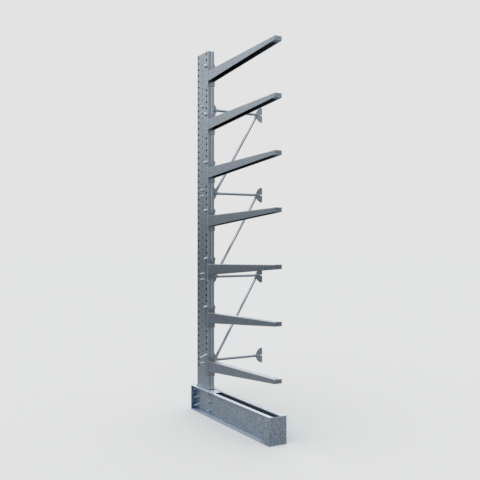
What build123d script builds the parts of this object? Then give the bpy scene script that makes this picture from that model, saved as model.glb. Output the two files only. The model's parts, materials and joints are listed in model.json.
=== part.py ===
from build123d import *
import math
import os

os.makedirs("parts", exist_ok=True)

# Cantilever rack: one perforated column on a long double-channel foot, seven tapered arms to the
# front, and the bracing of the next bay to the right.
# Millimetres. +Z up, arms point to -Y, bracing goes to +X.
# The origin is on the floor, under the middle of the column.

# Column: a closed folded section, 200 deep, with a shallow V groove down its front and back.
COLUMN_HEIGHT = 3000
COLUMN_DEPTH = 200
COLUMN_WIDTH = 60
COLUMN_WALL = 3
COLUMN_CORNER = 7
GROOVE_MOUTH = 18
GROOVE_FLOOR = 2
GROOVE_DEPTH = 6
BASE_PLATE = 8

# Perforation of the column's two sides, on a 50 mm pitch.
PITCH = 50
ROW_INSET = 25
FIRST_HOLE = 380
ROW_COUNT = 52
ROW_HOLE = 18
CENTRE_HOLE = 11

# Foot: two channels back to back, with the column between their webs.
FOOT_HEIGHT = 200
FOOT_HALF_WIDTH = 72
FOOT_SHEET = 4
FOOT_BEND = 6
FOOT_REAR = 130
FOOT_FRONT = -1120
CAP_RETURN = 60
SPACER_REAR = -106
SPACER_LENGTH = 120
SPACER_BOTTOM = 24
SPACER_TOP = 197
SPACER_NOTCH = 14
FOOT_BOLT_LEVELS = (42, 110, 178)
FOOT_BOLT_REAR = 75
FOOT_BOLT_FRONT = -150
ANCHOR_HOLE = 14
ANCHOR_X = 53
ANCHOR_REAR = 20
ANCHOR_FRONT = -1000

# Arms: an inverted channel that tapers towards its tip and rises a little.
ARM_COUNT = 7
ARM_SPACING = 400
TOP_PIVOT = 2880
ARM_TIP = -1125
ARM_WIDTH = 60
ARM_SHEET = 3
ARM_BEND = 5
ARM_ROOT_DROP = 43
ARM_ROOT_HEIGHT = 86
ARM_TIP_HEIGHT = 30
ARM_RISE = 25
STOP_HOLE = 13
STOP_INSET = 25
SIDE_HOLE = 8
SIDE_INSET = 34
TAB_LENGTH = 48
TAB_PLAY = 0.2
WELD_BEVEL = 2

# Arm head: a folded bracket around the column's front, on one through bolt at its top.
HEAD_SHEET = 4
HEAD_PLAY = 0.5
HEAD_DEPTH = 54
HEAD_DROP = 168
HEAD_BEND = 5
CHEEK_RADIUS = 25
PLATE_TOP_DROP = 6
PIVOT_CLEARANCE = 0.5

# Bracing: four horizontal and three diagonal bars between folded half-moon brackets.
BRACE_LEVELS = (430, 1130, 1830, 2530)
BAY_CLEAR = 510
BRACKET_SHEET = 4
BRACKET_HALF_HEIGHT = 66
BRACKET_REACH = 61
BRACKET_LOBE = 10
BRACKET_WEB_FRONT = -24
TAB_REAR = 20
TAB_INNER = 7
TAB_OUTER = 46
TAB_CORNER = 8
SLOT_HEIGHT = 9
SLOT_DEPTH = 22
BRACKET_BOLT_OFFSET = 25
BRACE_BOLT_REACH = 47
BAR_DIAMETER = 20
TONGUE_WIDTH = 23
TONGUE_THICKNESS = 6
TONGUE_TAPER = 26
RIM_ARCS = ((30, 120), (150, 60), (210, 120), (330, 60))
HORIZONTAL_FLAT = 20
DIAGONAL_FLAT = 36

# Fasteners: shank diameter, width across flats, head height, nut height, washer diameter and
# washer thickness.
M16 = (16, 24, 10, 13, 30, 3)
M10 = (10, 17, 6.4, 8, 20, 2)
HOLE_PLAY = 1
THREAD_PLAY = 0.2
CROWN_HEIGHT = 0.14
CROWN_WIDTH = 0.98
POINT_CHAMFER = 0.1
FOOT_THREAD_ENDS = {FOOT_BOLT_REAR: 20, FOOT_BOLT_FRONT: 8}
ARM_THREAD_END = 4
BRACKET_THREAD_END = 12
BRACE_THREAD_END = 4

HALF = COLUMN_WIDTH / 2
COLUMN_FRONT = -COLUMN_DEPTH / 2
PIVOT_Y = COLUMN_FRONT + ROW_INSET
HEAD_FRONT = COLUMN_FRONT - HEAD_SHEET
HEAD_INNER = HALF + HEAD_PLAY
HEAD_OUTER = HEAD_INNER + HEAD_SHEET
ARM_END = ARM_TIP + ARM_SHEET
PIVOT_LEVELS = [TOP_PIVOT - ARM_SPACING * i for i in range(ARM_COUNT)]
FAR_FACE = HALF + BAY_CLEAR
WEB_OUTER = HALF + FOOT_SHEET
ARM_REACH = HEAD_FRONT - ARM_TIP
ARM_SLOPE = ARM_RISE / ARM_REACH
ARM_LEAN = math.degrees(math.atan(ARM_SLOPE))
LEVEL_COUNT = len(BRACE_LEVELS)
NEAR_BOLT = HALF + BRACE_BOLT_REACH
FAR_BOLT = FAR_FACE - BRACE_BOLT_REACH
FRONT_LAYER = BRACKET_WEB_FRONT - TONGUE_THICKNESS
REAR_LAYER = BRACKET_WEB_FRONT + BRACKET_SHEET
FRONT_BAR = FRONT_LAYER + TONGUE_THICKNESS / 2
REAR_BAR = REAR_LAYER + TONGUE_THICKNESS / 2
FAR_MIRROR = Plane(origin=(HALF + BAY_CLEAR / 2, 0, 0), z_dir=(1, 0, 0))


def box(x, y, z):
    """A block between two X, two Y and two Z values."""
    block = Box(x[1] - x[0], y[1] - y[0], z[1] - z[0], align=(Align.MIN, Align.MIN, Align.MIN))
    return Pos(x[0], y[0], z[0]) * block


def rod_x(x0, x1, y, z, diameter):
    """A round rod along X."""
    return Pos((x0 + x1) / 2, y, z) * Rot(0, 90, 0) * Cylinder(diameter / 2, x1 - x0)


def rod_y(x, y0, y1, z, diameter):
    """A round rod along Y."""
    return Pos(x, (y0 + y1) / 2, z) * Rot(90, 0, 0) * Cylinder(diameter / 2, y1 - y0)


def rod_z(x, y, z0, z1, diameter):
    """A round rod along Z."""
    return Pos(x, y, (z0 + z1) / 2) * Cylinder(diameter / 2, z1 - z0)


def side_plate(outline, x0, x1):
    """A plate across X whose outline is a list of (Y, Z) points."""
    face = make_face(Polyline(*outline, close=True))
    return Pos(x0, 0, 0) * extrude(Plane.YZ * face, x1 - x0)


def front_plate(outline, y0, y1):
    """A plate across Y from y0 to y1, from a closed wire drawn in (X, Z)."""
    return Pos(0, y1, 0) * extrude(Plane.XZ * make_face(outline), y1 - y0)


def save(name, shape):
    """Write one named sub-part."""
    shape.label = name
    export_step(shape, f"parts/{name}.step")


# Fasteners, each built along +Z from its bearing face at z = 0.

def hex_block(flats, height):
    """A hexagonal block with its upper corners rounded off."""
    corner = flats / math.sqrt(3)
    block = extrude(RegularPolygon(corner, 6), height)
    crown = Pos(0, 0, height / 2) * Cylinder(corner, height)
    inset = corner - flats / 2 * CROWN_WIDTH
    crown = chamfer(crown.edges().sort_by(Axis.Z)[-1], height * CROWN_HEIGHT, inset)
    return block & crown


def bolt(size, grip, thread_end):
    """A hexagon bolt whose head bears at z = 0 and whose shank goes down to the nut's far side."""
    shank, flats, head, nut = size[:4]
    length = grip + nut + thread_end
    stem = Pos(0, 0, -length / 2) * Cylinder(shank / 2, length)
    stem = chamfer(stem.edges().sort_by(Axis.Z)[0], shank * POINT_CHAMFER)
    return hex_block(flats, head) + stem


def nut_block(size):
    """A hexagon nut that bears at z = 0."""
    shank, flats, nut = size[0], size[1], size[3]
    hole = Pos(0, 0, nut / 2) * Cylinder(shank / 2 + THREAD_PLAY / 2, nut)
    return hex_block(flats, nut) - hole


def washer_block(size):
    """A flat washer from z = 0 up."""
    shank, outer, thickness = size[0], size[4], size[5]
    ring = Cylinder(outer / 2, thickness) - Cylinder(shank / 2 + HOLE_PLAY / 2, thickness)
    return Pos(0, 0, thickness / 2) * ring


def bolted_joint(size, head_at, nut_at, thread_end):
    """A bolt, nut and two washers between two faces; each end is a point on the clamped stack."""
    start = Vector(*head_at)
    end = Vector(*nut_at)
    outward = (start - end).normalized()
    washer = size[5]
    grip = (start - end).length + 2 * washer
    head_plane = Plane(start, z_dir=outward)
    nut_plane = Plane(end, z_dir=-outward)
    lift = Pos(0, 0, washer)
    return (
        head_plane * lift * bolt(size, grip, thread_end),
        nut_plane * lift * nut_block(size),
        [head_plane * washer_block(size), nut_plane * washer_block(size)],
    )


def save_joints(prefix, joints):
    """Write the bolts, the nuts and the washers of one kind of joint as three groups."""
    save(f"{prefix}_bolts", Compound(children=[joint[0] for joint in joints]))
    save(f"{prefix}_nuts", Compound(children=[joint[1] for joint in joints]))
    washers = [washer for joint in joints for washer in joint[2]]
    save(f"{prefix}_washers", Compound(children=washers))


# Column.

def column_face():
    """The column's cross-section before it is hollowed."""
    x, y = HALF, COLUMN_DEPTH / 2
    mouth, floor, depth = GROOVE_MOUTH / 2, GROOVE_FLOOR / 2, GROOVE_DEPTH
    front = [(-x, -y), (-mouth, -y), (-floor, depth - y), (floor, depth - y), (mouth, -y), (x, -y)]
    back = [(-px, -py) for px, py in front]
    return make_face(Polyline(*front, *back, close=True))


def column_holes():
    """The punched rows through both sides, and the holes for the foot's rear bolts."""
    rear = -COLUMN_FRONT - ROW_INSET
    levels = [FIRST_HOLE + PITCH * k for k in range(ROW_COUNT)]
    rows = [(y, z) for y in (PIVOT_Y, rear) for z in levels]
    middle = [(0, z + PITCH / 2) for z in levels[:-1]]
    foot = [(FOOT_BOLT_REAR, z) for z in FOOT_BOLT_LEVELS]
    circles = [Pos(y, z) * Circle(ROW_HOLE / 2) for y, z in rows]
    circles += [Pos(y, z) * Circle(CENTRE_HOLE / 2) for y, z in middle]
    circles += [Pos(y, z) * Circle((M16[0] + HOLE_PLAY) / 2) for y, z in foot]
    return [extrude(Plane.YZ * circle, COLUMN_WIDTH, both=True) for circle in circles]


def column():
    """The hollow column, standing on its base plate."""
    section = column_face()
    sharp = [v for v in section.vertices() if abs(v.X) == HALF]
    outer = fillet(sharp, COLUMN_CORNER)
    inner = offset(outer, -COLUMN_WALL, kind=Kind.INTERSECTION)
    length = COLUMN_HEIGHT - BASE_PLATE
    tube = extrude(outer, length) - extrude(inner, length)
    return Pos(0, 0, BASE_PLATE) * tube - column_holes()


def base_plate():
    """The plate under the column, between the foot's webs."""
    return box((-HALF, HALF), (COLUMN_FRONT, -COLUMN_FRONT), (0, BASE_PLATE))


# Foot.

def foot_channel():
    """The channel on the -X side of the column, flanges outward."""
    span = (FOOT_FRONT + FOOT_SHEET, FOOT_REAR - FOOT_SHEET)
    outer = box((-FOOT_HALF_WIDTH, -HALF), span, (0, FOOT_HEIGHT))
    long_edges = outer.edges().filter_by(Axis.Y)
    bends = [edge for edge in long_edges if edge.center().X > -WEB_OUTER]
    outer = fillet(bends, FOOT_BEND)
    hollow = box((-FOOT_HALF_WIDTH, -WEB_OUTER), span, (FOOT_SHEET, FOOT_HEIGHT - FOOT_SHEET))
    inner_edges = hollow.edges().filter_by(Axis.Y)
    inner_bends = [edge for edge in inner_edges if edge.center().X > -WEB_OUTER - 1]
    hollow = fillet(inner_bends, FOOT_BEND - FOOT_SHEET)
    channel = outer - hollow
    for y in (FOOT_BOLT_REAR, FOOT_BOLT_FRONT):
        for z in FOOT_BOLT_LEVELS:
            channel -= rod_x(-WEB_OUTER, -HALF, y, z, M16[0] + HOLE_PLAY)
    for y in (ANCHOR_REAR, ANCHOR_FRONT):
        channel -= rod_z(-ANCHOR_X, y, 0, FOOT_SHEET, ANCHOR_HOLE)
    return channel


def foot_front_cap():
    """The folded cap that closes the foot's front, with a return along each side."""
    front = (FOOT_FRONT, FOOT_FRONT + FOOT_SHEET)
    plate = box((-FOOT_HALF_WIDTH, FOOT_HALF_WIDTH), front, (0, FOOT_HEIGHT))
    low, high = FOOT_SHEET, FOOT_HEIGHT - FOOT_SHEET
    span = (FOOT_FRONT, FOOT_FRONT + CAP_RETURN)
    side = box((-FOOT_HALF_WIDTH, FOOT_SHEET - FOOT_HALF_WIDTH), span, (low, high))
    return plate + side + mirror(side, Plane.YZ)


def foot_rear_plate():
    """The flat plate that closes the foot's rear."""
    rear = (FOOT_REAR - FOOT_SHEET, FOOT_REAR)
    return box((-FOOT_HALF_WIDTH, FOOT_HALF_WIDTH), rear, (0, FOOT_HEIGHT))


def foot_spacer():
    """The inverted U between the webs, just ahead of the column."""
    span = (SPACER_REAR - SPACER_LENGTH, SPACER_REAR)
    outer = box((-HALF, HALF), span, (SPACER_BOTTOM, SPACER_TOP))
    wall = HALF - FOOT_SHEET
    spacer = outer - box((-wall, wall), span, (SPACER_BOTTOM, SPACER_TOP - FOOT_SHEET))
    corner = (SPACER_REAR - SPACER_NOTCH, SPACER_REAR)
    relief = box((HALF - SPACER_NOTCH, HALF), corner, (SPACER_TOP - SPACER_NOTCH, SPACER_TOP))
    spacer -= relief
    spacer -= mirror(relief, Plane.YZ)
    for z in FOOT_BOLT_LEVELS:
        spacer -= rod_x(-HALF, HALF, FOOT_BOLT_FRONT, z, M16[0] + HOLE_PLAY)
    return spacer


def foot_joints():
    """Six through bolts, heads on the right and long threads on the left."""
    return [
        bolted_joint(M16, (WEB_OUTER, y, z), (-WEB_OUTER, y, z), thread_end)
        for y, thread_end in FOOT_THREAD_ENDS.items()
        for z in FOOT_BOLT_LEVELS
    ]


# Arms. Heights are counted from the arm's pivot.

def arm_top(y):
    """Height of the arm's top face at Y."""
    return ARM_SLOPE * (HEAD_FRONT - y) - ARM_ROOT_DROP


def arm_depth(y):
    """Height of the arm's sides at Y."""
    along = (HEAD_FRONT - y) / ARM_REACH
    return ARM_ROOT_HEIGHT + (ARM_TIP_HEIGHT - ARM_ROOT_HEIGHT) * along


def rounded_crown(body, radius):
    """The body with the two long edges of its top rounded."""
    long_edges = [edge for edge in body.edges() if edge.length > ARM_REACH / 2]
    crown = sorted(long_edges, key=lambda edge: edge.center().Z)[-2:]
    return fillet(crown, radius)


def stop_bore():
    """The stop pin's bore near the tip, square to the arm's top face."""
    y = ARM_TIP + STOP_INSET
    reach = 4 * ARM_TIP_HEIGHT
    return Pos(0, y, arm_top(y)) * Rot(-ARM_LEAN, 0, 0) * Cylinder(STOP_HOLE / 2, reach)


def arm_beam():
    """The tapered inverted channel, open below and at both ends, its root bevelled for the weld."""
    root, end = HEAD_FRONT, ARM_END
    side = ARM_WIDTH / 2
    bevel = root - WELD_BEVEL
    outline = [
        (root, arm_top(root) - WELD_BEVEL),
        (bevel, arm_top(bevel)),
        (end, arm_top(end)),
        (end, arm_top(end) - arm_depth(end)),
        (root, arm_top(root) - arm_depth(root)),
    ]
    outer = rounded_crown(side_plate(outline, -side, side), ARM_BEND)
    low = arm_top(root) - 2 * ARM_ROOT_HEIGHT
    core_outline = [
        (root, arm_top(root) - ARM_SHEET),
        (end, arm_top(end) - ARM_SHEET),
        (end, low),
        (root, low),
    ]
    core = side_plate(core_outline, ARM_SHEET - side, side - ARM_SHEET)
    beam = outer - rounded_crown(core, ARM_BEND - ARM_SHEET) - stop_bore()
    side_y = ARM_TIP + SIDE_INSET
    return beam - rod_x(-side, side, side_y, arm_top(side_y) - ARM_TIP_HEIGHT / 2, SIDE_HOLE)


def arm_end_cap():
    """The folded cap on the arm's tip, with a tab below that holds the foot of a stop pin."""
    side = ARM_WIDTH / 2
    high = arm_top(ARM_TIP)
    low = high - ARM_TIP_HEIGHT
    plate = box((-side, side), (ARM_TIP, ARM_END), (low, arm_top(ARM_END)))
    upright = [edge for edge in plate.edges().filter_by(Axis.Y) if edge.center().Z > low + 1]
    plate = fillet(upright, ARM_BEND)
    half_tab = side - ARM_SHEET - TAB_PLAY
    tab_root = low - ARM_SLOPE * TAB_LENGTH
    tab_outline = [
        (ARM_TIP, low),
        (ARM_TIP, low + ARM_SHEET),
        (ARM_TIP + TAB_LENGTH, tab_root + ARM_SHEET),
        (ARM_TIP + TAB_LENGTH, tab_root),
    ]
    cap = plate + side_plate(tab_outline, -half_tab, half_tab) - stop_bore()
    return cap - rod_y(0, ARM_TIP, ARM_END, high - ARM_TIP_HEIGHT / 2, SIDE_HOLE)


def arm_head():
    """The folded bracket: a front plate that bears on the column, and a cheek on each side."""
    low, high = -HEAD_DROP, CHEEK_RADIUS
    rear = HEAD_FRONT + HEAD_DEPTH
    shell = box((-HEAD_OUTER, HEAD_OUTER), (HEAD_FRONT, rear), (low, high))
    bends = [edge for edge in shell.edges().filter_by(Axis.Z) if edge.center().Y < HEAD_FRONT + 1]
    shell = fillet(bends, HEAD_BEND)
    shell -= box((-HEAD_INNER, HEAD_INNER), (COLUMN_FRONT, rear), (low, high))
    shell -= box((-HEAD_INNER, HEAD_INNER), (HEAD_FRONT, COLUMN_FRONT), (-PLATE_TOP_DROP, high))
    body = [
        (HEAD_FRONT, low),
        (HEAD_FRONT, -PLATE_TOP_DROP),
        (PIVOT_Y - CHEEK_RADIUS, 0),
        (PIVOT_Y + CHEEK_RADIUS, 0),
        (PIVOT_Y + CHEEK_RADIUS, low + CHEEK_RADIUS),
        (PIVOT_Y, low),
    ]
    profile = side_plate(body, -HEAD_OUTER, HEAD_OUTER)
    profile += rod_x(-HEAD_OUTER, HEAD_OUTER, PIVOT_Y, 0, 2 * CHEEK_RADIUS)
    hole = rod_x(-HEAD_OUTER, HEAD_OUTER, PIVOT_Y, 0, M16[0] + 2 * PIVOT_CLEARANCE)
    return (shell & profile) - hole


def arm_joints():
    """One through bolt for each arm, with its head on the right."""
    return [
        bolted_joint(M16, (HEAD_OUTER, PIVOT_Y, z), (-HEAD_OUTER, PIVOT_Y, z), ARM_THREAD_END)
        for z in PIVOT_LEVELS
    ]


# Bracing. A bracket is drawn at the column's right side; a far one is its mirror image.

def bracket():
    """A half-moon plate with a slot at its middle and a bolting tab folded back at each half."""
    half = BRACKET_HALF_HEIGHT
    arc = ThreePointArc((HALF, half), (HALF + BRACKET_REACH, 0), (HALF, -half))
    outline = Wire([arc, Line((HALF, -half), (HALF, half))])
    web_rear = BRACKET_WEB_FRONT + BRACKET_SHEET
    web = front_plate(outline, BRACKET_WEB_FRONT, web_rear)
    web = fillet(web.edges().filter_by(Axis.Y), BRACKET_LOBE)
    slot = (HALF, HALF + SLOT_DEPTH)
    web -= box(slot, (BRACKET_WEB_FRONT, web_rear), (-SLOT_HEIGHT / 2, SLOT_HEIGHT / 2))
    web -= rod_y(HALF + BRACE_BOLT_REACH, BRACKET_WEB_FRONT, web_rear, 0, M10[0] + HOLE_PLAY)
    tab = box((HALF, HALF + BRACKET_SHEET), (BRACKET_WEB_FRONT, TAB_REAR), (TAB_INNER, TAB_OUTER))
    rounded = [edge for edge in tab.edges().filter_by(Axis.X) if edge.center().Y > 0]
    tab = fillet(rounded, TAB_CORNER)
    tab -= rod_x(HALF, HALF + BRACKET_SHEET, 0, BRACKET_BOLT_OFFSET, CENTRE_HOLE)
    return web + tab + mirror(tab, Plane.XY)


def quartered_circle(radius):
    """A disc whose rim is two broad and two narrow arcs, to match a flattened section's edges."""
    arcs = [CenterArc((0, 0), radius, start, size) for start, size in RIM_ARCS]
    return make_face(Wire(arcs))


def bar(start, end, flat, y):
    """A round bar in the plane at Y, its ends pressed flat and drilled at two (X, Z) points."""
    (x0, z0), (x1, z1) = start, end
    span = math.hypot(x1 - x0, z1 - z0)
    round_part = span - 2 * (flat + TONGUE_TAPER)
    shaft = Cylinder(BAR_DIAMETER / 2, round_part)
    shoulder = round_part / 2
    blade = Pos(0, 0, shoulder + TONGUE_TAPER) * SlotOverall(TONGUE_WIDTH, TONGUE_THICKNESS)
    taper = loft([Pos(0, 0, shoulder) * quartered_circle(BAR_DIAMETER / 2), blade])
    tongue = extrude(blade, flat + TONGUE_WIDTH / 2)
    across = Pos(0, 0, span / 2) * Rot(90, 0, 0)
    straight = Pos(0, 0, (span - flat) / 2) * Box(TONGUE_WIDTH, TONGUE_THICKNESS, flat)
    rounded_end = across * Cylinder(TONGUE_WIDTH / 2, TONGUE_THICKNESS)
    hole = across * Cylinder((M10[0] + HOLE_PLAY) / 2, TONGUE_THICKNESS)
    tongue = (tongue & (straight + rounded_end)) - hole
    half_bar = taper + tongue
    whole = shaft + half_bar + mirror(half_bar, Plane.XY)
    lean = math.degrees(math.atan2(x1 - x0, z1 - z0))
    return Pos((x0 + x1) / 2, y, (z0 + z1) / 2) * Rot(0, lean, 0) * whole


def bracket_joints():
    """Through bolts that clamp the brackets to the column, nuts and long threads on the left."""
    return [
        bolted_joint(
            M10, (HALF + BRACKET_SHEET, 0, z + offset), (-HALF, 0, z + offset), BRACKET_THREAD_END
        )
        for z in BRACE_LEVELS
        for offset in (BRACKET_BOLT_OFFSET, -BRACKET_BOLT_OFFSET)
    ]


def brace_joints():
    """One bolt at each bracket's nose: horizontal in front of the web, diagonal behind it."""
    joints = []
    for number, z in enumerate(BRACE_LEVELS, start=1):
        for x, has_diagonal in ((NEAR_BOLT, number < LEVEL_COUNT), (FAR_BOLT, number > 1)):
            rear = REAR_LAYER + TONGUE_THICKNESS if has_diagonal else REAR_LAYER
            joints.append(bolted_joint(M10, (x, FRONT_LAYER, z), (x, rear, z), BRACE_THREAD_END))
    return joints


save("column", column())
save("column_base_plate", base_plate())
left_channel = foot_channel()
save("foot_channel_left", left_channel)
save("foot_channel_right", mirror(left_channel, Plane.YZ))
save("foot_front_cap", foot_front_cap())
save("foot_rear_plate", foot_rear_plate())
save("foot_spacer", foot_spacer())
save_joints("foot", foot_joints())

beam, head, cap = arm_beam(), arm_head(), arm_end_cap()
for number, level in enumerate(PIVOT_LEVELS, start=1):
    save(f"arm_{number}_beam", Pos(0, 0, level) * beam)
    save(f"arm_{number}_head", Pos(0, 0, level) * head)
    save(f"arm_{number}_end_cap", Pos(0, 0, level) * cap)
save_joints("arm", arm_joints())
save_joints("bracket", bracket_joints())

# Brackets and bars are numbered from the floor up.
near_bracket = bracket()
far_bracket = mirror(near_bracket, FAR_MIRROR)
for number, level in enumerate(BRACE_LEVELS, start=1):
    save(f"bracket_near_{number}", Pos(0, 0, level) * near_bracket)
    save(f"bracket_far_{number}", Pos(0, 0, level) * far_bracket)
    start, end = (NEAR_BOLT, level), (FAR_BOLT, level)
    save(f"brace_horizontal_{number}", bar(start, end, HORIZONTAL_FLAT, FRONT_BAR))
for number, (low, high) in enumerate(zip(BRACE_LEVELS, BRACE_LEVELS[1:]), start=1):
    start, end = (NEAR_BOLT, low), (FAR_BOLT, high)
    save(f"brace_diagonal_{number}", bar(start, end, DIAGONAL_FLAT, REAR_BAR))
save_joints("brace", brace_joints())
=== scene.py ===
import json
import math

import bmesh
import bpy
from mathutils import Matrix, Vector


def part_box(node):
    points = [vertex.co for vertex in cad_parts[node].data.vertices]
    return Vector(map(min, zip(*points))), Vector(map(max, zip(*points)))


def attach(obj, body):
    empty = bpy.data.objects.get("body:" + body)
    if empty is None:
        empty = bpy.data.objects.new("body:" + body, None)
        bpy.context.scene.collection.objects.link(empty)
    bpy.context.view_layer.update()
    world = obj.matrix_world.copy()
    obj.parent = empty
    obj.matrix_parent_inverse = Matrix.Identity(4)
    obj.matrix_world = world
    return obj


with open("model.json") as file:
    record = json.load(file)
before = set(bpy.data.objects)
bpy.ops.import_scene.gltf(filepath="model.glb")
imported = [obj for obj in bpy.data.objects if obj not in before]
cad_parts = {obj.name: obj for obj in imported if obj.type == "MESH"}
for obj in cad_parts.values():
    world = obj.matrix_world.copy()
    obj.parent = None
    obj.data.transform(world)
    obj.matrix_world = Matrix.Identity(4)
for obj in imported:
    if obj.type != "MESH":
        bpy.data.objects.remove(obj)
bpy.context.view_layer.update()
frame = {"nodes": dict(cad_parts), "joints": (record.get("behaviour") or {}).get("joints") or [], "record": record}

record = frame["record"]
mounts = {mount["name"]: mount for mount in record["mounts"]}
arm_numbers = range(1, sum(name.endswith("_beam") for name in frame["nodes"]) + 1)

# Lengths are in metres and angles in degrees, in the CAD model's frame.


# ---------------------------------------------------------------- nodes

# A Mix node's colour sockets, by number, because the names repeat for each kind of value.
MIX_FACTOR = 0
MIX_FIRST = 6
MIX_SECOND = 7
MIX_RESULT = 2


def node(tree, kind, inputs=None, **settings):
    """A node with its settings and inputs. A socket given as an input's value becomes a link."""
    made = tree.nodes.new(kind)
    for name, value in settings.items():
        setattr(made, name, value)
    for key, value in (inputs or {}).items():
        if isinstance(value, bpy.types.NodeSocket):
            tree.links.new(value, made.inputs[key])
        else:
            made.inputs[key].default_value = value
    return made


def maths(tree, operation, *values):
    """The result of a Math node."""
    return node(tree, "ShaderNodeMath", dict(enumerate(values)), operation=operation).outputs[0]


def vectors(tree, operation, first, second):
    """The result of a Vector Math node on two vectors."""
    return node(tree, "ShaderNodeVectorMath", {0: first, 1: second}, operation=operation).outputs[0]


def scaled(tree, vector, factor):
    """A vector or colour times a number."""
    return node(tree, "ShaderNodeVectorMath", {0: vector, "Scale": factor}, operation="SCALE").outputs[0]


def aligned(tree, first, second):
    """The dot product of two vectors."""
    made = node(tree, "ShaderNodeVectorMath", {0: first, 1: second}, operation="DOT_PRODUCT")
    return made.outputs["Value"]


def between(tree, value, start, end, low, high):
    """Eases from low to high while the value goes from start to end."""
    span = {"Value": value, "From Min": start, "From Max": end, "To Min": low, "To Max": high}
    return node(tree, "ShaderNodeMapRange", span, interpolation_type="SMOOTHSTEP").outputs["Result"]


def mixed(tree, factor, first, second):
    """The first colour where the factor is 0, the second where it is 1."""
    colours = {MIX_FACTOR: factor, MIX_FIRST: first, MIX_SECOND: second}
    return node(tree, "ShaderNodeMix", colours, data_type="RGBA").outputs[MIX_RESULT]


def noise(tree, place, scale, detail):
    """A noise texture."""
    return node(tree, "ShaderNodeTexNoise", {"Vector": place, "Scale": scale, "Detail": detail})


def ramp(tree, factor, stops):
    """A colour ramp through (position, grey or colour) stops."""
    made = node(tree, "ShaderNodeValToRGB", {"Fac": factor})
    elements = made.color_ramp.elements
    while len(elements) < len(stops):
        elements.new(0.5)
    for element, (position, value) in zip(elements, stops):
        element.position = position
        colour = value if isinstance(value, tuple) else (value, value, value)
        element.color = (*colour, 1.0)
    return made.outputs["Color"]


# ---------------------------------------------------------------- materials

# How far noise bends the zinc crystals' outlines, and how fine that noise and the grain are,
# all measured in crystals. The clouds are patches of a slightly different tone.
CRYSTAL_BEND = 0.9
BEND_SCALE = 0.6
GRAINS = 5
CLOUD_SCALE = 5.0
CLOUD_ROUGHNESS = 0.6
CLOUD_DEPTH = 0.16

# Sharp edges are shaded as if they had this radius, and are worn bright, which is partly a painted highlight.
# The wear and highlight go by how well the rounded surface's normal agrees with the real one's: 1 where the sheet
# is flat.
EDGE_RADIUS = 0.0008
EDGE_SAMPLES = 4
EDGE_WEAR_AND_HIGHLIGHT = [(0.80, 1.0), (0.985, 0.0)]
WORN_AND_HIGHLIGHT = (0.78, 0.82, 0.86, 1.0)

# Painted light from above: a pale colour starts where the surface's normal points up by the first amount, and is
# full at the second.
# The sheet elsewhere is nearly all metal, and where the pale colour is full, most of that is taken away.
TOP_PAINTED_LIGHT = (0.72, 0.79, 0.86, 1.0)
TOP_LIGHT_STARTS = 0.60
TOP_LIGHT_FULL = 0.95
PLAIN_METAL = 0.88
TOP_DULLS = 0.75

# Painted shade: the arms are a little darker below the first height than above the second, as if in the shade of
# the arms above.
LOW_ARM = 0.9
HIGH_ARM = 2.3
LOW_SHADE = 0.84
HIGH_SHADE = 1.06

# Painted shade in recesses, as stops of how open the surface is to what lies within this reach.
RECESS_REACH = 0.22
RECESS_SAMPLES = 8
BLUE_RECESS_SHADE = [(0.20, (0.22, 0.36, 0.54)), (0.46, (0.72, 0.77, 0.83)), (0.85, 1.0)]
BLACK_RECESS_SHADE = [(0.20, 0.03), (0.46, 0.85), (0.85, 1.0)]

# The column's bore is painted in shade this far from its axis, except where its two grooves are: nearer
# to the middle of its width than this, and further out than their floor.
BORE_HALF_WIDTH = 0.0275
BORE_HALF_DEPTH = 0.0974
BORE_PAINTED_SHADE = 0.97
GROOVE_HALF_WIDTH = 0.0095
GROOVE_FLOOR = 0.0925

# The column's holes are all above this height, and have rims darkened by painted shade.
HOLE_PITCH = 0.05
HOLES_START = 0.365
RIM_WIDTH = 0.0035
RIM_PAINTED_SHADE = 0.82

# How much the roughness varies, and each kind of relief's strength and depth.
ROUGHNESS_SPREAD = 0.12
CRYSTAL_RELIEF = (0.10, 0.0006)
MARK_RELIEF = (0.1, 0.0002)

# Plated zinc: its machining marks and its cloudy tint.
MARK_SCALE = 900.0
TINT_SCALE = 60.0
TINT_START = 0.3
TINT_END = 0.7
PLATED_ROUGHNESS = 0.10


def new_material(name):
    """An empty node material with its output and a principled shader."""
    material = bpy.data.materials.new(name)
    material.use_nodes = True
    tree = material.node_tree
    tree.nodes.clear()
    shader = node(tree, "ShaderNodeBsdfPrincipled")
    node(tree, "ShaderNodeOutputMaterial", {"Surface": shader.outputs["BSDF"]})
    return material, shader


def crystals(tree, place, spangle):
    """Three random values for each zinc crystal, with spangle crystals to the metre."""
    bend = noise(tree, place, spangle * BEND_SCALE, 2.0)
    shift = vectors(tree, "SUBTRACT", bend.outputs["Color"], (0.5, 0.5, 0.5))
    bent = vectors(tree, "ADD", place, scaled(tree, shift, CRYSTAL_BEND / spangle))
    cells = node(tree, "ShaderNodeTexVoronoi", {"Vector": bent, "Scale": spangle})
    return node(tree, "ShaderNodeSeparateColor", {"Color": cells.outputs["Color"]}).outputs


def recess_painted_shade(tree, stops):
    """Painted shade: the stops' colours by how open the surface is, 0 deep in a recess, 1 in the open."""
    reach = {"Distance": RECESS_REACH}
    openness = node(tree, "ShaderNodeAmbientOcclusion", reach, samples=RECESS_SAMPLES).outputs["AO"]
    return ramp(tree, openness, stops)


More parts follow.
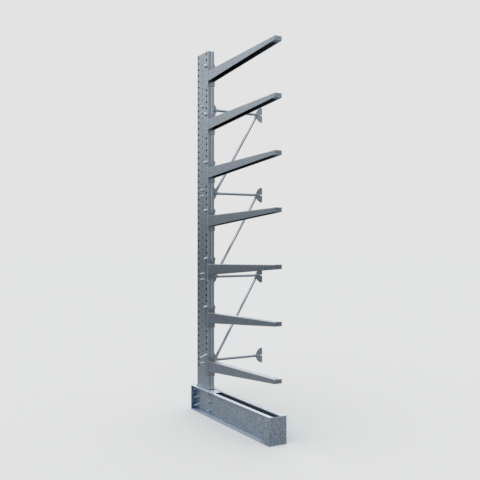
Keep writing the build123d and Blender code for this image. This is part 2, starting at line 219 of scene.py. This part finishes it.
def column_painted_shade(tree, place):
    """Painted shade: nearly 0 in the column's bore, low on the rims of its two outer rows of holes, else 1."""
    def calc(operation, *values):
        return maths(tree, operation, *values)

    split = node(tree, "ShaderNodeSeparateXYZ", {"Vector": place}).outputs
    across = calc("ABSOLUTE", split["X"])
    deep = calc("ABSOLUTE", split["Y"])
    in_groove = calc(
        "MULTIPLY",
        calc("LESS_THAN", across, GROOVE_HALF_WIDTH),
        calc("GREATER_THAN", deep, GROOVE_FLOOR),
    )
    in_bore = calc(
        "MULTIPLY",
        calc("LESS_THAN", across, BORE_HALF_WIDTH),
        calc("LESS_THAN", deep, BORE_HALF_DEPTH),
    )
    in_bore = calc("MULTIPLY", in_bore, calc("SUBTRACT", 1.0, in_groove))
    # Painted shade fills the bore.
    painted_shade = calc("MULTIPLY_ADD", in_bore, -BORE_PAINTED_SHADE, 1.0)

    # The distance to the nearest hole's middle.
    hole = mounts["rear_arm_hole"]
    row, level = hole["pos_m"][1:]
    radius = hole["dims"]["r_mm"] / 1000
    steps = calc("MULTIPLY_ADD", split["Z"], 1 / HOLE_PITCH, 0.5 - level / HOLE_PITCH)
    up = calc("MULTIPLY", calc("SUBTRACT", calc("FRACT", steps), 0.5), HOLE_PITCH)
    aside = calc("SUBTRACT", deep, row)
    away = calc("SQRT", calc("ADD", calc("MULTIPLY", up, up), calc("MULTIPLY", aside, aside)))

    # Painted shade on each hole's rim, darkest at the hole's edge.
    rim_shade = between(tree, away, radius, radius + RIM_WIDTH, RIM_PAINTED_SHADE, 0.0)
    rim_shade = calc("MULTIPLY", rim_shade, calc("GREATER_THAN", split["Z"], HOLES_START))
    return calc("MULTIPLY", painted_shade, calc("SUBTRACT", 1.0, rim_shade))


def add_relief(tree, shader, rounded, height, size):
    """Bumps the shader's surface by a height, over edges that are shaded round."""
    strength, distance = size
    relief = {"Strength": strength, "Distance": distance, "Height": height, "Normal": rounded}
    tree.links.new(node(tree, "ShaderNodeBump", relief).outputs["Normal"], shader.inputs["Normal"])


def galvanised(name, tone, spangle, contrast, roughness, stops=None, pale_tops=False, low_painted_shade=False):
    """Hot-dip galvanised sheet: zinc crystals of mixed brightness, cloudy patches, worn edges with a painted
    highlight.

    Spangle is the number of crystals to the metre, and contrast how far their brightness differs.
    The stops paint shade into its recesses. Without them it is the column, whose bore and hole rims get painted
    shade.
    A sheet with pale tops has painted light on what faces up and is matt there, and one with low painted shade is
    darker near the floor.
    """
    material, shader = new_material(name)
    tree = material.node_tree
    place = node(tree, "ShaderNodeTexCoord").outputs["Object"]
    cell = crystals(tree, place, spangle)
    grain = noise(tree, place, spangle * GRAINS, 3.0)
    clouds = noise(tree, place, CLOUD_SCALE, 4.0)
    clouds.inputs["Roughness"].default_value = CLOUD_ROUGHNESS

    shade = maths(tree, "MULTIPLY_ADD", cell["Red"], contrast, 1.0 - contrast / 2)
    patches = maths(tree, "MULTIPLY_ADD", clouds.outputs["Fac"], CLOUD_DEPTH, 1.0 - CLOUD_DEPTH / 2)
    shade = maths(tree, "MULTIPLY", shade, patches)
    # Painted shade: darker near the floor.
    if low_painted_shade:
        height = node(tree, "ShaderNodeSeparateXYZ", {"Vector": place}).outputs["Z"]
        height_shade = between(tree, height, LOW_ARM, HIGH_ARM, LOW_SHADE, HIGH_SHADE)
        shade = maths(tree, "MULTIPLY", shade, height_shade)
    colour = scaled(tree, tone, shade)

    bevel = node(tree, "ShaderNodeBevel", {"Radius": EDGE_RADIUS}, samples=EDGE_SAMPLES)
    rounded = bevel.outputs["Normal"]
    flat = node(tree, "ShaderNodeNewGeometry").outputs["Normal"]
    # Worn edges, lightened partly as a painted highlight.
    edge = ramp(tree, aligned(tree, rounded, flat), EDGE_WEAR_AND_HIGHLIGHT)
    colour = mixed(tree, maths(tree, "MULTIPLY", edge, grain.outputs["Fac"]), colour, WORN_AND_HIGHLIGHT)

    # Painted light: what faces up is pale, as if lit from above, and less metallic.
    if pale_tops:
        upward = node(tree, "ShaderNodeSeparateXYZ", {"Vector": flat}).outputs["Z"]
        top_lit = between(tree, upward, TOP_LIGHT_STARTS, TOP_LIGHT_FULL, 0.0, 1.0)
        colour = mixed(tree, top_lit, colour, TOP_PAINTED_LIGHT)
        metal = maths(tree, "MULTIPLY_ADD", top_lit, -TOP_DULLS, PLAIN_METAL)
        tree.links.new(metal, shader.inputs["Metallic"])
    else:
        shader.inputs["Metallic"].default_value = 1.0

    # Painted shade darkens the colour in recesses, or in the column's bore and on its hole rims.
    painted_shade = recess_painted_shade(tree, stops) if stops else column_painted_shade(tree, place)
    tree.links.new(vectors(tree, "MULTIPLY", colour, painted_shade), shader.inputs["Base Color"])
    lowest = roughness - ROUGHNESS_SPREAD / 2
    rough = maths(tree, "MULTIPLY_ADD", cell["Green"], ROUGHNESS_SPREAD, lowest)
    tree.links.new(rough, shader.inputs["Roughness"])
    relief = maths(tree, "ADD", grain.outputs["Fac"], cell["Blue"])
    add_relief(tree, shader, rounded, relief, CRYSTAL_RELIEF)
    return material


def zinc_plated(name, dark, light):
    """Zinc on fasteners: even, a little bluish, with fine machining marks."""
    material, shader = new_material(name)
    tree = material.node_tree
    place = node(tree, "ShaderNodeTexCoord").outputs["Object"]
    marks = noise(tree, place, MARK_SCALE, 2.0).outputs["Fac"]
    clouds = noise(tree, place, TINT_SCALE, 3.0).outputs["Fac"]
    tint = ramp(tree, clouds, [(TINT_START, dark), (TINT_END, light)])
    tree.links.new(tint, shader.inputs["Base Color"])
    rough = maths(tree, "MULTIPLY_ADD", marks, ROUGHNESS_SPREAD, PLATED_ROUGHNESS)
    tree.links.new(rough, shader.inputs["Roughness"])
    shader.inputs["Metallic"].default_value = 1.0
    bevel = node(tree, "ShaderNodeBevel", {"Radius": EDGE_RADIUS}, samples=EDGE_SAMPLES)
    add_relief(tree, shader, bevel.outputs["Normal"], marks, MARK_RELIEF)
    return material


COLUMN = galvanised("galvanised_column", (0.575, 0.625, 0.675), 150.0, 0.20, 0.30)
FOOT = galvanised("galvanised_foot", (0.555, 0.61, 0.67), 150.0, 0.70, 0.32, BLUE_RECESS_SHADE, pale_tops=True)
ARM = galvanised("galvanised_arm", (0.545, 0.59, 0.63), 150.0, 0.22, 0.30, BLACK_RECESS_SHADE, low_painted_shade=True)
BRACING = galvanised("galvanised_bracing", (0.58, 0.63, 0.68), 200.0, 0.05, 0.20, BLACK_RECESS_SHADE)
# One zinc plating, and a darker copy of it with painted shade for the foot's and bracing's fasteners.
BRIGHT_ZINC = zinc_plated("bright_zinc", (0.90, 0.93, 0.96), (0.97, 0.98, 0.99))
SHADED_ZINC = zinc_plated("shaded_zinc", (0.53, 0.63, 0.72), (0.68, 0.78, 0.87))

SLOT_MATERIALS = {
    "column_steel": COLUMN,
    "foot_steel": FOOT,
    "arm_steel": ARM,
    "bracing_steel": BRACING,
    "fastener_steel": BRIGHT_ZINC,
}

for entry in record["subparts"]:
    name = entry["node"]
    # The foot's and bracing's fasteners take the copy with painted shade.
    shaded_fastener = entry["material_slot"] == "fastener_steel" and name.startswith(("foot_", "brace_"))
    materials = frame["nodes"][name].data.materials
    materials.clear()
    materials.append(SHADED_ZINC if shaded_fastener else SLOT_MATERIALS[entry["material_slot"]])


# ---------------------------------------------------------------- welds

# A weld bead is a tube of rings a step apart. Its ripples and its wobble are shares of its radius.
BEAD_SIDES = 8
BEAD_STEP = 0.0014
RIPPLE_LENGTH = 0.0042
RIPPLE_HEIGHT = 0.16
WOBBLE_HEIGHT = 0.07
WOBBLE_RATE = 310.0

# A direction that no bead runs along, to set out its rings from.
ASIDE = Vector((0.31, 0.53, 0.79))

# The height of an arm's channel at its root, and how its weld goes round the channel's bends.
ARM_ROOT_HEIGHT = 0.086
ARM_BEND_DROP = 0.005
ARM_BEND_INSET = 0.0035
ARM_CROWN_DROP = 0.001

# How far below the end cap's top the two welds beside it start and end.
CAP_WELD_START = 0.006
CAP_WELD_END = 0.028

# How far the foot's and column's welds lie within the edges that they follow.
FOOT_CAP_SINK = 0.0012
FOOT_CAP_INSET = 0.004
FLANGE_INSET = 0.008
COLUMN_WELD_INSET = 0.003
HALF_FOOT_SHEET = 0.002

# The radius of each kind of bead.
ARM_BEAD = 0.0026
ARM_CAP_BEAD = 0.0011
FOOT_CAP_BEAD = 0.0014
FOOT_REAR_BEAD = 0.0013
COLUMN_BEAD = 0.0025


def add_piece(name, shape, material, body):
    """A new smooth piece from a bmesh, riding on a body."""
    bmesh.ops.recalc_face_normals(shape, faces=shape.faces)
    mesh = bpy.data.meshes.new(name)
    shape.to_mesh(mesh)
    shape.free()
    mesh.polygons.foreach_set("use_smooth", [True] * len(mesh.polygons))
    mesh.materials.append(material)
    piece = bpy.data.objects.new(name, mesh)
    bpy.context.scene.collection.objects.link(piece)
    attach(piece, body)


def spaced(points, step):
    """Points about a step apart along a polyline, each with the way along it and the length so far."""
    samples = []
    walked = 0.0
    for start, end in zip(points, points[1:]):
        along = Vector(end) - Vector(start)
        count = max(1, round(along.length / step))
        for index in range(count):
            part = index / count
            point = Vector(start) + along * part
            samples.append((point, along.normalized(), walked + along.length * part))
        walked += along.length
    samples.append((Vector(points[-1]), samples[-1][1], walked))
    return samples


def add_bead(shape, points, radius):
    """Adds a rippled weld bead along a polyline to a bmesh."""
    rings = []
    for centre, along, walked in spaced(points, BEAD_STEP):
        side = along.cross(ASIDE).normalized()
        other = along.cross(side)
        ripple = RIPPLE_HEIGHT * math.sin(math.pi * ((walked / RIPPLE_LENGTH) % 1.0))
        swell = 1.0 + ripple + WOBBLE_HEIGHT * math.sin(walked * WOBBLE_RATE)
        ring = []
        for index in range(BEAD_SIDES):
            turn = 2 * math.pi * index / BEAD_SIDES
            outward = side * math.cos(turn) + other * math.sin(turn)
            ring.append(shape.verts.new(centre + outward * radius * swell))
        rings.append(ring)
    for ring, following in zip(rings, rings[1:]):
        for index in range(BEAD_SIDES):
            after = (index + 1) % BEAD_SIDES
            shape.faces.new((ring[index], ring[after], following[after], following[index]))
    shape.faces.new(list(reversed(rings[0])))
    shape.faces.new(rings[-1])


def add_arm_welds(number):
    """The bead that joins an arm's channel to its head, and the two beside its end cap."""
    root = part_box(f"arm_{number}_head")[0].y
    beam_low, beam_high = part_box(f"arm_{number}_beam")
    cap_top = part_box(f"arm_{number}_end_cap")[1].z
    seam = beam_low.y
    half = beam_high.x
    top = beam_low.z + ARM_ROOT_HEIGHT
    left_half = [
        (-half, root, beam_low.z),
        (-half, root, top - ARM_BEND_DROP),
        (ARM_BEND_INSET - half, root, top - ARM_CROWN_DROP),
    ]
    right_half = [(-x, y, z) for x, y, z in reversed(left_half)]
    shape = bmesh.new()
    add_bead(shape, left_half + right_half, ARM_BEAD)
    for side in (-half, half):
        ends = [(side, seam, cap_top - CAP_WELD_START), (side, seam, cap_top - CAP_WELD_END)]
        add_bead(shape, ends, ARM_CAP_BEAD)
    add_piece(f"arm_{number}_welds", shape, ARM, f"arm_{number}")


def add_foot_welds():
    """The beads along the seams of the foot's front cap and rear plate, and under the column."""
    cap_low, cap_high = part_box("foot_front_cap")
    plate_low, plate_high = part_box("foot_rear_plate")
    column_low, column_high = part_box("column")
    shape = bmesh.new()
    for side in (cap_low.x, cap_high.x):
        inward = side - math.copysign(FOOT_CAP_SINK, side)
        for level in (cap_low.z + FOOT_CAP_INSET, cap_high.z - FOOT_CAP_INSET):
            ends = [(inward, cap_low.y + FOOT_CAP_INSET, level), (inward, cap_high.y, level)]
            add_bead(shape, ends, FOOT_CAP_BEAD)
        web = math.copysign(column_high.x + HALF_FOOT_SHEET, side)
        flange = side - math.copysign(FLANGE_INSET, side)
        ends = [(web, plate_low.y, plate_high.z), (flange, plate_low.y, plate_high.z)]
        add_bead(shape, ends, FOOT_REAR_BEAD)
    left = column_low.x + COLUMN_WELD_INSET
    right = column_high.x - COLUMN_WELD_INSET
    for face in (column_low.y, column_high.y):
        add_bead(shape, [(left, face, column_low.z), (right, face, column_low.z)], COLUMN_BEAD)
    add_piece("foot_welds", shape, FOOT, "root")


# ---------------------------------------------------------------- threads

LEFT = Vector((-1, 0, 0))

# A thread is a ridge in steps of a turn. Its foot is inside the bolt's radius, by this share of it,
# and half its width and the height of its crest are shares of the pitch.
THREAD_STEPS = 20
THREAD_FOOT = 0.97
THREAD_HALF_WIDTH = 0.42
THREAD_CREST = 0.16

# The radius and pitch of the rack's two sizes of bolt.
LARGE_BOLT = (0.008, 0.002)
SMALL_BOLT = (0.005, 0.0015)

# Where each kind of bolt comes out of its nut, and how much thread shows past it. Each row of the
# foot's bolts has its own place along the foot and its own length of thread.
FOOT_NUT_FACE = -0.0512
FOOT_BOLT_LEVELS = (0.042, 0.110, 0.178)
FOOT_BOLT_ROWS = ((0.075, 0.0165), (-0.150, 0.0050))
ARM_NUT_FACE = -0.0509
ARM_THREAD = 0.0020
BRACKET_NUT_FACE = -0.0408
BRACKET_THREAD = 0.0098


def add_thread(shape, start, length, size):
    """Adds the ridge wound on a bolt's free end to a bmesh, from its nut's face to the left."""
    radius, pitch = size
    side = LEFT.orthogonal().normalized()
    other = LEFT.cross(side)
    previous = None
    for index in range(int(length / pitch * THREAD_STEPS) + 1):
        turn = 2 * math.pi * index / THREAD_STEPS
        around = side * math.cos(turn) + other * math.sin(turn)
        base = Vector(start) + LEFT * (pitch * index / THREAD_STEPS)
        profile = [
            shape.verts.new(base + around * (radius * THREAD_FOOT) - LEFT * pitch * THREAD_HALF_WIDTH),
            shape.verts.new(base + around * (radius + pitch * THREAD_CREST)),
            shape.verts.new(base + around * (radius * THREAD_FOOT) + LEFT * pitch * THREAD_HALF_WIDTH),
        ]
        if previous:
            for low, high in ((0, 1), (1, 2)):
                shape.faces.new((previous[low], previous[high], profile[high], profile[low]))
        previous = profile


def add_threads():
    """The threads that show past the nuts, all on the left."""
    shape = bmesh.new()
    for row, length in FOOT_BOLT_ROWS:
        for level in FOOT_BOLT_LEVELS:
            add_thread(shape, (FOOT_NUT_FACE, row, level), length, LARGE_BOLT)
    add_piece("foot_threads", shape, SHADED_ZINC, "root")

    shape = bmesh.new()
    for joint in frame["joints"]:
        start = Vector(joint["pos_m"]) + Vector((ARM_NUT_FACE, 0.0, 0.0))
        add_thread(shape, start, ARM_THREAD, LARGE_BOLT)
    for name, mount in mounts.items():
        if name.startswith("bracket_far"):
            half_spacing = mount["dims"]["spacing_y_mm"] / 1000 / 2
            for offset in (-half_spacing, half_spacing):
                start = (BRACKET_NUT_FACE, 0.0, mount["pos_m"][2] + offset)
                add_thread(shape, start, BRACKET_THREAD, SMALL_BOLT)
    add_piece("upper_threads", shape, BRIGHT_ZINC, "root")


for number in arm_numbers:
    add_arm_welds(number)
add_foot_welds()
add_threads()


# ---------------------------------------------------------------- stage

# The photograph's camera.
CAMERA_PLACE = (-2.590, -5.157, 1.424)
CAMERA_TURN = 29.53
CAMERA_TILT = 0.13
CAMERA_LENS = 51.4
CAMERA_SENSOR = 36.0
CAMERA_CLIP = 200.0

# The plain studio that the camera sees: one pale grey for the backdrop and the lit floor.
BACKDROP = (0.768, 0.768, 0.768, 1.0)
FLOOR_COLOUR = (0.623, 0.622, 0.621, 1.0)
FLOOR_GLOW = (0.218, 0.218, 0.218, 1.0)
FLOOR_RADIUS = 60.0
FLOOR_SIDES = 96

# The one lamp, how large it looks, and the way its light goes.
SUN_STRENGTH = 0.5
SUN_SIZE = 50.0
SUN_TOWARDS = (0.35, 0.55, -0.75)

# What the metal mirrors instead, as radiance by elevation: first the walls all round, which the
# left sides mirror. Each wall after that takes over towards its way, between two cosines.
WALLS = [
    (-90, 0.03), (-45, 0.06), (-27, 0.40), (-13, 0.42), (-8.5, 0.29), (-5, 0.15), (-1, 0.12),
    (1.5, 0.20), (5, 0.41), (9, 0.54), (15, 0.63), (40, 0.85), (90, 1.0),
]

# The wall opposite the surfaces that face front.
FACING = [
    (-90, 0.03), (-45, 0.06), (-25, 0.40), (-12, 0.37), (-6, 0.15), (0, 0.12), (6, 0.29),
    (12, 0.46), (30, 0.50), (60, 0.6), (90, 1.0),
]
FACING_WAY = (0.493, -0.870, 0.0)
FACING_BLEND = (-0.20, 0.55)

# The wall to the left, which rounded corners and the column's groove mirror.
BESIDE = [
    (-90, 0.03), (-45, 0.06), (-24, 0.40), (-8, 0.38), (0, 0.35), (8, 0.73), (14, 0.90),
    (22, 0.95), (90, 1.0),
]
BESIDE_WAY = (-0.98, -0.20, 0.0)
BESIDE_BLEND = (0.68, 0.97)

# The bright wall behind the rack, which the tops and everything seen at a flat angle mirror.
BEHIND = [
    (-90, 0.06), (-25, 0.10), (-6, 0.20), (0, 0.40), (4, 1.15), (25, 1.30), (50, 1.1), (90, 1.0),
]
BEHIND_WAY = (0.493, 0.870, 0.0)
BEHIND_BLEND = (0.84, 0.97)
BRIGHTEST = 1.3

# A grey darker than this turns bluish, by at most this much.
NEUTRAL = 0.7
BLUE_SHIFT = 0.20


def add_floor():
    """The lit floor. It takes the rack's shadow, and neither lights the metal nor shows in it."""
    material, shader = new_material("floor")
    shader.inputs["Base Color"].default_value = FLOOR_COLOUR
    shader.inputs["Emission Color"].default_value = FLOOR_GLOW
    shader.inputs["Emission Strength"].default_value = 1.0
    shader.inputs["Roughness"].default_value = 1.0
    shader.inputs["Specular IOR Level"].default_value = 0.0
    mesh = bpy.data.meshes.new("floor")
    shape = bmesh.new()
    bmesh.ops.create_circle(shape, cap_ends=True, segments=FLOOR_SIDES, radius=FLOOR_RADIUS)
    shape.to_mesh(mesh)
    shape.free()
    mesh.materials.append(material)
    floor = bpy.data.objects.new("floor", mesh)
    bpy.context.scene.collection.objects.link(floor)
    floor.visible_diffuse = False
    floor.visible_glossy = False


def tinted(value):
    """A grey that turns bluish as it gets darker."""
    shift = BLUE_SHIFT * max(0.0, 1.0 - value / NEUTRAL)
    return (value * (1 - shift), value, value * (1 + shift))


def rise_at(elevation):
    """How far up the studio an elevation is: 0 straight down, 1 straight up."""
    return 0.5 + 0.5 * math.sin(math.radians(elevation))


def wall(tree, rise, radiance, brightest=1.0):
    """One side of the studio. The ramp's colours are at most 1, so it is scaled to its brightest."""
    stops = [(rise_at(elevation), tinted(value / brightest)) for elevation, value in radiance]
    return scaled(tree, ramp(tree, rise, stops), brightest)


def add_world():
    """Pale grey to the camera. To the object, a studio: grey walls, and a bright one behind."""
    world = bpy.data.worlds.new("studio")
    bpy.context.scene.world = world
    world.use_nodes = True
    tree = world.node_tree
    tree.nodes.clear()
    way = node(tree, "ShaderNodeTexCoord").outputs["Generated"]
    split = node(tree, "ShaderNodeSeparateXYZ", {"Vector": way})
    rise = maths(tree, "MULTIPLY_ADD", split.outputs["Z"], 0.5, 0.5)

    colour = wall(tree, rise, WALLS)
    sides = (
        (wall(tree, rise, FACING), FACING_WAY, FACING_BLEND),
        (wall(tree, rise, BESIDE), BESIDE_WAY, BESIDE_BLEND),
        (wall(tree, rise, BEHIND, BRIGHTEST), BEHIND_WAY, BEHIND_BLEND),
    )
    for side, direction, blend in sides:
        towards = between(tree, aligned(tree, way, direction), *blend, 0.0, 1.0)
        colour = mixed(tree, towards, colour, side)

    studio = node(tree, "ShaderNodeBackground", {"Color": colour, "Strength": 1.0})
    plain = node(tree, "ShaderNodeBackground", {"Color": BACKDROP, "Strength": 1.0})
    seen = node(tree, "ShaderNodeLightPath").outputs["Is Camera Ray"]
    mix = node(tree, "ShaderNodeMixShader", {"Fac": seen, 1: studio.outputs[0], 2: plain.outputs[0]})
    node(tree, "ShaderNodeOutputWorld", {"Surface": mix.outputs[0]}, is_active_output=True)


def add_sun():
    """The soft main light, from above, in front and to the left."""
    light = bpy.data.lights.new("key", "SUN")
    light.energy = SUN_STRENGTH
    light.angle = math.radians(SUN_SIZE)
    lamp = bpy.data.objects.new("key", light)
    lamp.rotation_euler = Vector(SUN_TOWARDS).to_track_quat("-Z", "Y").to_euler()
    bpy.context.scene.collection.objects.link(lamp)


def add_camera():
    """The camera at the photograph's viewing angle."""
    camera = bpy.data.cameras.new("camera")
    camera.lens = CAMERA_LENS
    camera.sensor_width = CAMERA_SENSOR
    camera.clip_end = CAMERA_CLIP
    holder = bpy.data.objects.new("camera", camera)
    holder.location = CAMERA_PLACE
    holder.rotation_euler = (math.radians(90 + CAMERA_TILT), 0.0, -math.radians(CAMERA_TURN))
    bpy.context.scene.collection.objects.link(holder)
    bpy.context.scene.camera = holder


bpy.context.scene.view_settings.view_transform = "Standard"
add_floor()
add_world()
add_sun()
add_camera()
